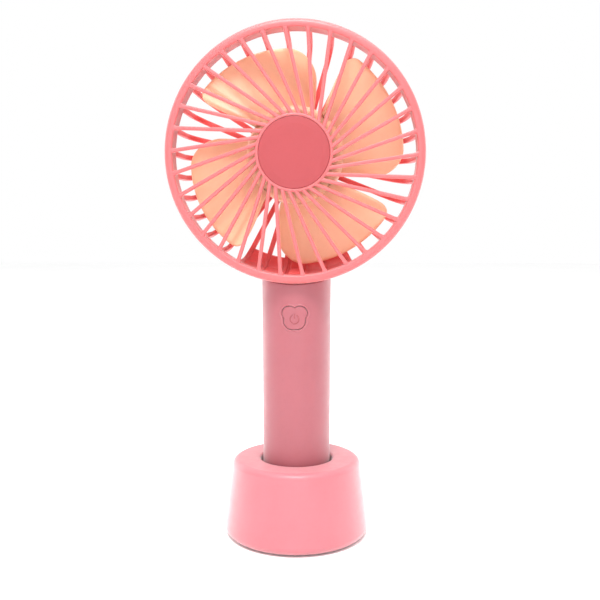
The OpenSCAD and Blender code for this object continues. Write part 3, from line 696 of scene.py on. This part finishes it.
def build_rear_shell():
    shell = Shell(front=False)
    edge = [(0, -0.35), (0.04, -0.14), (0.14, -0.04), (0.35, 0)]
    port = ((PORT_LOW.x + PORT_HIGH.x) / 2, (PORT_LOW.z + PORT_HIGH.z) / 2)
    shell.hole((-21, 21, 90.5, 96.5), port, slot_outline(4.3, 1.9), edge)
    light = ((LIGHT_LOW.x + LIGHT_HIGH.x) / 2, (LIGHT_LOW.z + LIGHT_HIGH.z) / 2)
    shell.hole((22.5, 36, 90.5, 96.5), light, circle_outline(1.1), [(0, -0.2), (0.08, -0.05), (0.2, 0)])
    screw = (SCREW_HIGH.x - 2.1, (SCREW_LOW.z + SCREW_HIGH.z) / 2)
    seat = 6.4
    pocket = [(-2.2, seat), (-0.1, seat), (0, seat + 0.1), (0, seat + 1.5)]
    for side, block in ((1, (18, 49.5, 80.5, 88.5)), (-1, (-49.5, -18, 80.5, 88.5))):
        shell.hole(block, (side * screw[0], screw[1]), circle_outline(2.3), edge, pocket)
    build("handle_back", shell.part(), HANDLE_PINK, "handle", ["handle_rear_shell"])


def build_button():
    """The power key: its curved face with the symbol, a rounded edge, and the flange behind."""
    steps = 240
    face_r = handle_radius(BUTTON_Z) + BUTTON_PROUD
    turns = [2 * math.pi * k / steps for k in range(steps)]

    def ring(radius, drop):
        """A ring of the curved face at radius(turn), lowered by drop towards the axis."""
        points = []
        for t in turns:
            x, z = radius(t) * math.cos(t), radius(t) * math.sin(t)
            y = -math.sqrt(face_r**2 - x * x) - symbol_lift(x, z) + drop
            points.append(Vector((x, y, BUTTON_Z + z)))
        return points

    def flat_ring(offset, y):
        reach = [(button_outline(t) + offset, t) for t in turns]
        return [Vector((r * math.cos(t), -y, BUTTON_Z + r * math.sin(t))) for r, t in reach]

    relief_r = 2.8
    edge = 0.4
    layers = [ring(lambda t, r=r: r, 0) for r in spread(0.05, relief_r, 60)]
    for f in (0.3, 0.65, 1):
        layers.append(ring(lambda t: mix(relief_r, button_outline(t) - edge, f), 0))
    for step in spread(0, math.pi / 2, 5)[1:]:
        back = edge * (1 - math.sin(step))
        layers.append(ring(lambda t: button_outline(t) - back, edge * (1 - math.cos(step))))
    flange = BUTTON_BACK + 0.8
    out = BUTTON_FLANGE
    layers += [flat_ring(0, flange), flat_ring(out - 0.05, flange), flat_ring(out, flange - 0.1)]
    layers += [flat_ring(out, BUTTON_BACK + 0.1), flat_ring(out - 0.1, BUTTON_BACK)]
    key = build("power_key", loft(layers), HANDLE_PINK, "power_button", ["power_button"], sharp=50)
    key.data.materials.append(SYMBOL_PINK)
    for face in key.data.polygons:
        spot = face.center / MM
        if -spot.y > BUTTON_BACK + 1 and symbol_lift(spot.x, spot.z - BUTTON_Z) > 0.06:
            face.material_index = 1


# ---------- front grille ----------


def spoke(angle):
    """One straight spoke from the ring to the hub, a little wider where it joins them."""
    outer = Vector((math.cos(angle), math.sin(angle))) * (HEAD_R - RING_W + 0.5)
    turn = angle - math.radians(SPOKE_SWEEP)
    inner = Vector((math.cos(turn), math.sin(turn))) * (HUB_R - 0.4)
    along = (inner - outer).normalized()
    side = Vector((-along.y, along.x))
    rings = []
    for t, swell in ((0, 1.7), (0.012, 1.6), (0.03, 1.2), (0.055, 1), (0.5, 1), (0.95, 1), (1, 1.05)):
        centre = outer.lerp(inner, t)
        ring = []
        for p in bar_section(SPOKE_W, SPOKE_T, 0.5, 4):
            draft = 1 - 0.1 * p.y / SPOKE_T
            spot = centre + side * (p.x * swell * draft)
            ring.append(head(spot.x, spot.y, HEAD_FRONT - 0.15 - SPOKE_T / 2 + p.y))
        rings.append(ring)
    return loft(rings)


def build_front_grille():
    inner = HEAD_R - RING_W
    ring = filleted([
        (inner, TENON_BACK, 0.25), (TENON_R, TENON_BACK, 0.3), (TENON_R, RING_BACK, 0.1),
        (HEAD_R, RING_BACK, 0.35), (HEAD_R, HEAD_FRONT, 2.2), (inner, HEAD_FRONT, 0.9)])
    hub = filleted([
        (0, HEAD_FRONT - HUB_T, 0), (HUB_R, HEAD_FRONT - HUB_T, 0.3), (HUB_R, HEAD_FRONT, 0.7),
        (BADGE_R + 0.12, HEAD_FRONT, 0.2), (BADGE_R + 0.12, HEAD_FRONT - BADGE_T, 0.1),
        (0, HEAD_FRONT - BADGE_T, 0)])
    parts = [lathe(ring, steps=240), lathe(hub)]
    for i in range(SPOKES):
        parts.append(spoke(math.radians(FIRST_SPOKE + i * 360 / SPOKES)))
    for angle in (45, 135, 225, 315):
        lug = [Vector(p) for p in (
            (TENON_R - 0.4, TENON_BACK + 0.6), (TENON_R + 1, TENON_BACK + 0.6),
            (TENON_R + 1, TENON_BACK + 1.6), (TENON_R - 0.4, TENON_BACK + 1.6))]
        parts.append(lathe(lug, steps=6, start=angle - 2.5, span=5))
    build("grille_cover", joined(parts), GRILLE_PINK, "front_cover", ["front_grille"])
    crown = HEAD_FRONT + 0.05
    disc = filleted([
        (0, HEAD_FRONT - BADGE_T, 0), (BADGE_R, HEAD_FRONT - BADGE_T, 0.1), (BADGE_R, crown - 0.25, 0.3),
        (BADGE_R - 3, crown, 3), (0, crown, 0)])
    build("blank_badge", lathe(disc), BADGE_PINK, "front_cover", ["badge_disc"])


# ---------- rear grille ----------


def dome_path(inset, turn=90, steps=14):
    """Points of the dome's section from the rim round its corner, with their outward normals."""
    stations = [(Vector((DOME_FRONT[0] - inset, DOME_FRONT[1])), Vector((1, 0)))]
    for a in spread(0, math.radians(turn), steps):
        normal = Vector((math.cos(a), -math.sin(a)))
        stations.append((Vector(DOME_C) + normal * (DOME_CORNER - inset), normal))
    return stations


def rib_path(inset):
    """The dome's section from the rim round the corner and in to the motor's cup."""
    stations = dome_path(inset)
    normal = Vector((0, -1))
    end = Vector((DOME_BACK[0], DOME_BACK[1] + inset))
    start = stations[-1][0]
    stations += [(start.lerp(end, t), normal) for t in (0.25, 0.5, 0.75, 1)]
    return stations


def rib(angle, width, outer, inner, radius):
    """A rib that follows the dome, between two depths below its surface."""
    out = Vector((math.cos(angle), math.sin(angle)))
    side = Vector((-out.y, out.x))
    section = bar_section(width, inner - outer, radius)
    rings = []
    for centre, normal in rib_path((outer + inner) / 2):
        ring = []
        for p in section:
            r = centre.x + normal.x * p.y
            z = centre.y + normal.y * p.y
            spot = out * r + side * p.x
            ring.append(head(spot.x, spot.y, z))
        rings.append(ring)
    return loft(rings)


def chin():
    """The solid part of the dome over the handle, with round edges."""
    skin = [p for p, _ in dome_path(WEB_INSET, CHIN_CORNER)]
    lining = [p for p, _ in dome_path(RIB_DEPTH - WEB_INSET, CHIN_CORNER)]
    tip = skin[-1].lerp(lining[-1], 0.5) + (skin[-1] - skin[-2]).normalized() * 0.7
    return lathe(skin + [tip] + lining[::-1], steps=60, start=270 - CHIN_ANGLE / 2, span=CHIN_ANGLE)


def neck():
    """The tube under the chin that the handle's shells close round."""
    outer_r, inner_r, low = 12.7, 9.4, 101.2
    groove_z, groove_h, groove = 104, 1.6, 1.4
    rings = []
    for angle in spread(0, 2 * math.pi, 96):
        ring = []
        for r, z in (
            (inner_r, low), (outer_r, low), (outer_r, groove_z), (outer_r - groove, groove_z),
            (outer_r - groove, groove_z + groove_h), (outer_r, groove_z + groove_h), (outer_r, None),
            (inner_r, None)):
            x, y = r * math.cos(angle), r * math.sin(angle)
            top = shell_top(x, y, WALL + 0.2 if y > 6 else -1.2)
            ring.append(Vector((x, y, z if z is not None else top)))
        rings.append(ring)
    return loft(rings, closed_ends=False)


def build_rear_grille():
    rim = filleted([
        (HEAD_R, RIM_BACK, 0.6), (HEAD_R, RIM_FRONT, 0.3), (RIM_BORE, RIM_FRONT, 0.1),
        (RIM_BORE, RIM_BACK + 0.7, 0.1), (RIM_BORE - 1.5, RIM_BACK + 0.7, 0.2),
        (RIM_BORE - 1.5, RIM_BACK, 0.3)])
    cup = filleted([
        (CUP_R, CUP_BACK, 0.2), (CUP_R, 0, 0.6), (3.3, 0, 0.2), (3.3, -1.5, 0.1), (CUP_BORE, -1.5, 0.3),
        (CUP_BORE, CUP_BACK, 0.2)])
    plate = filleted([
        (CUP_R - 0.5, CUP_BACK, 0), (DOME_BACK[0] + 2.5, CUP_BACK, 0.5),
        (DOME_BACK[0] + 2.5, CUP_BACK + 2, 0.5), (CUP_R - 0.5, CUP_BACK + 2, 0)])
    parts = [lathe(rim, steps=240), lathe(cup), lathe(plate), chin(), neck()]
    for i in range(SPOKES):
        parts.append(rib(math.radians(FIRST_SPOKE + i * 360 / SPOKES), RIB_W, 0, RIB_DEPTH, 0.55))
    parts.append(rib(math.radians(-90), SPINE_W, WEB_INSET, SPINE_DEPTH, 0.6))
    build("rear_cage", joined(parts), CAGE_PINK_PAINTED_SHADE, "handle", ["rear_grille"])
    flange_r = BACK_HIGH.x
    back = -BACK_HIGH.y
    cap = filleted([
        (0, CUP_BACK - 0.4, 0), (0, back, 0), (9.6, back, 0.2), (9.9, back + 0.25, 0.15),
        (10.3, back + 0.25, 0.15), (10.6, back, 0.2), (flange_r, back + 0.1, 1.3),
        (flange_r, CUP_BACK - 0.05, 0.15),
        (CUP_BORE - 0.1, CUP_BACK - 0.05, 0.05), (CUP_BORE - 0.1, CUP_BACK + 0.9, 0.2),
        (CUP_BORE - 1.2, CUP_BACK + 0.9, 0.2), (CUP_BORE - 1.2, CUP_BACK - 0.4, 0.1)])
    build("motor_back_cap", lathe(cap), CAGE_PINK_PAINTED_SHADE, "handle", ["motor_rear_cover"])


# ---------- impeller ----------


def corner_drop(radius, distance):
    """How far a rounded tip corner falls short of the tip circle."""
    return 0 if distance >= radius else radius - math.sqrt(radius**2 - (radius - distance) ** 2)


def blade_point(s, v, face):
    """A point at s along a blade's chord and v along its span, on its front (1) or back (-1) face."""
    root = BLADE_HUB_R - 0.8
    tip = BLADE_R - corner_drop(LEAD_ROUND, s * CHORD) - corner_drop(TRAIL_ROUND, (1 - s) * CHORD)
    r = mix(root, tip, v)
    lead = LEAD_ANGLE + LEAD_SWEEP * (r - root)
    trail = TRAIL_ANGLE + TRAIL_BULGE * math.sin(math.pi / 2 * min(1, (r - root) / 19))
    trail_z = HUB_FRONT + TRAIL_RISE * math.sin(math.pi / 2 * min(1, (r - root) / 8))
    lead_z = HUB_BACK + 0.8
    angle = math.radians(mix(lead, trail, s))
    rise = (trail_z - HUB_BACK) / (r * math.radians(trail - lead))
    edge = min(s * CHORD, (1 - s) * CHORD, (1 - v) * (tip - root)) / BLADE_T
    lip = math.sqrt(1 - (1 - min(edge, 1)) ** 2)
    fillet = 1.1 * math.exp(-max(r - BLADE_HUB_R, 0) / 0.9)
    thickness = (BLADE_T * mix(1.0, 0.82, v) + fillet) * lip
    z = mix(lead_z, trail_z, s) + face * thickness / 2 * math.sqrt(1 + rise * rise)
    return r * math.cos(angle), r * math.sin(angle), z


def blade(turn):
    """A closed sheet: edge steps are packed towards the rim so that its lip is round."""
    chord_steps, span_steps = 72, 40
    chords = [(1 - math.cos(math.pi * i / chord_steps)) / 2 for i in range(chord_steps + 1)]
    spans = [1 - (1 - i / span_steps) ** 1.6 for i in range(span_steps + 1)]
    rings = []
    for v in spans:
        front = [blade_point(s, v, 1) for s in chords]
        back = [blade_point(s, v, -1) for s in reversed(chords[1:-1])]
        cos, sin = math.cos(turn), math.sin(turn)
        rings.append([head(x * cos - y * sin, x * sin + y * cos, z) for x, y, z in front + back])
    return loft(rings)


def build_impeller():
    inner = BLADE_HUB_R - 1.6
    hub = filleted([
        (2.4, 2, 0), (4.5, 2, 0.3), (4.5, HUB_FRONT - 1.6, 0.4), (inner, HUB_FRONT - 1.6, 1),
        (inner, HUB_BACK, 0.3), (BLADE_HUB_R, HUB_BACK, 0.4), (BLADE_HUB_R, HUB_FRONT, 2.8),
        (0, HUB_FRONT, 0), (0, 9.5, 0), (2.4, 9.5, 0)], 8)
    parts = [lathe(hub)] + [blade(2 * math.pi / BLADES * i) for i in range(BLADES)]
    build("fan_wheel", joined(parts), PEACH, "rotor", ["impeller"], sharp=50)


# ---------- battery cap ----------


def build_battery_cap():
    """The twist-off end of the handle, with a coin slot across it."""
    low, high = CAP_LOW.z, CAP_HIGH.z
    flange_r = CAP_HIGH.x
    half_w, half_l, depth = 0.8, 8, 1
    outline = filleted([
        (0, low, 0), (flange_r, low, 0.8), (flange_r, low + 2, 0.15), (11, low + 2, 0.1), (11, high, 0.2),
        (9.8, high, 0.2), (9.8, low + 2, 0.1), (0, low + 2, 0)])
    cap = build("twist_cap", lathe(outline, upright), HANDLE_PINK, "battery_cap", ["battery_cap"])
    slot = [Vector((x, y, z)) for z in (low - 1, low + depth) for x, y in (
        (-half_l, -half_w), (half_l, -half_w), (half_l, half_w), (-half_l, half_w))]
    mesh = bpy.data.meshes.new("coin_slot")
    mesh.from_pydata([p * MM for p in slot], [], loft([slot[:4], slot[4:]])[1])
    cutter = bpy.data.objects.new("coin_slot", mesh)
    bpy.context.scene.collection.objects.link(cutter)
    cut = cap.modifiers.new("coin_slot", "BOOLEAN")
    cut.operation = "DIFFERENCE"
    cut.object = cutter
    cap.modifiers.move(1, 0)
    applied = bpy.data.meshes.new_from_object(cap.evaluated_get(bpy.context.evaluated_depsgraph_get()))
    cap.modifiers.remove(cut)
    cap.data = applied
    bpy.data.objects.remove(cutter)


# ---------- CAD nodes that keep their own shape ----------

KEPT = {
    "base_bottom_plate": STAND_PINK, "ballast_ring": IRON, "base_screws": SCREW, "handle_screws": SCREW,
    "switch_body": BLACK, "switch_plunger": BLACK, "circuit_board": GREEN_BOARD, "board_chips": BLACK,
    "board_inductor": FERRITE, "indicator_led": MILKY, "light_pipe": MILKY, "charging_port_shell": NICKEL,
    "charging_port_tongue": BLACK, "battery_cell": WRAP, "battery_terminal": NICKEL,
    "positive_contact": NICKEL, "battery_lead": RED_LEAD, "negative_strip": NICKEL, "battery_collar": NYLON,
    "battery_spring": NICKEL, "motor_can": DRAWN_STEEL, "motor_end_cap": NYLON, "motor_bushes": BRASS,
    "motor_magnets": FERRITE, "motor_brushes": COPPER, "motor_terminals": NICKEL, "motor_screws": SCREW,
    "motor_lead_red": RED_LEAD, "motor_lead_black": BLACK_LEAD, "hub_insert": BRASS, "motor_shaft": SCREW,
    "armature_core": DRAWN_STEEL, "armature_windings": COPPER, "commutator": COPPER,
}


def dress_cad_nodes():
    """Gives each CAD node that is kept as it is its material."""
    for name, material in KEPT.items():
        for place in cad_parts[name].material_slots:
            place.material = material


# ---------- floor and light ----------


def build_stage():
    """A pale floor and an even white surrounding."""
    m = Nodes("studio_floor")
    m.link(m.ramp(m.noise(3, 2), grey(0.955), grey(0.975)), m.shader.inputs["Base Color"])
    m.shader.inputs["Roughness"].default_value = 0.9
    mesh = bpy.data.meshes.new("floor")
    size = 4.0
    corners = [(-size, -size, 0), (size, -size, 0), (size, size, 0), (-size, size, 0)]
    mesh.from_pydata(corners, [], [(0, 1, 2, 3)])
    floor = bpy.data.objects.new("floor", mesh)
    bpy.context.scene.collection.objects.link(floor)
    mesh.materials.append(m.material)
    world = bpy.data.worlds.new("studio")
    world.use_nodes = True
    world.node_tree.nodes["Background"].inputs["Color"].default_value = (1, 1, 1, 1)
    world.node_tree.nodes["Background"].inputs["Strength"].default_value = 1.0
    bpy.context.scene.world = world


def soft_light(name, place, target, size, watts):
    """A square area light that faces a target."""
    lamp = bpy.data.lights.new(name, "AREA")
    lamp.size = size
    lamp.energy = watts
    holder = bpy.data.objects.new(name, lamp)
    bpy.context.scene.collection.objects.link(holder)
    holder.location = place
    holder.rotation_euler = (Vector(target) - Vector(place)).to_track_quat("-Z", "Y").to_euler()


def build_lights():
    middle = (0, 0, 0.12)
    soft_light("key", (-0.03, -0.5, 1.0), middle, 0.25, 10.0)
    soft_light("overhead", (0, -0.1, 1.2), middle, 1.5, 14.0)
    soft_light("front", (0, -1.2, 0.35), middle, 1.2, 5.0)
    soft_light("back_left", (-0.8, 0.6, 0.3), middle, 0.6, 2.5)
    soft_light("back_right", (0.8, 0.6, 0.3), middle, 0.6, 2.5)


build_stand()
build_front_shell()
build_rear_shell()
build_button()
build_battery_cap()
build_front_grille()
build_rear_grille()
build_impeller()
dress_cad_nodes()
build_stage()
build_lights()
bpy.context.scene.view_settings.view_transform = "Standard"
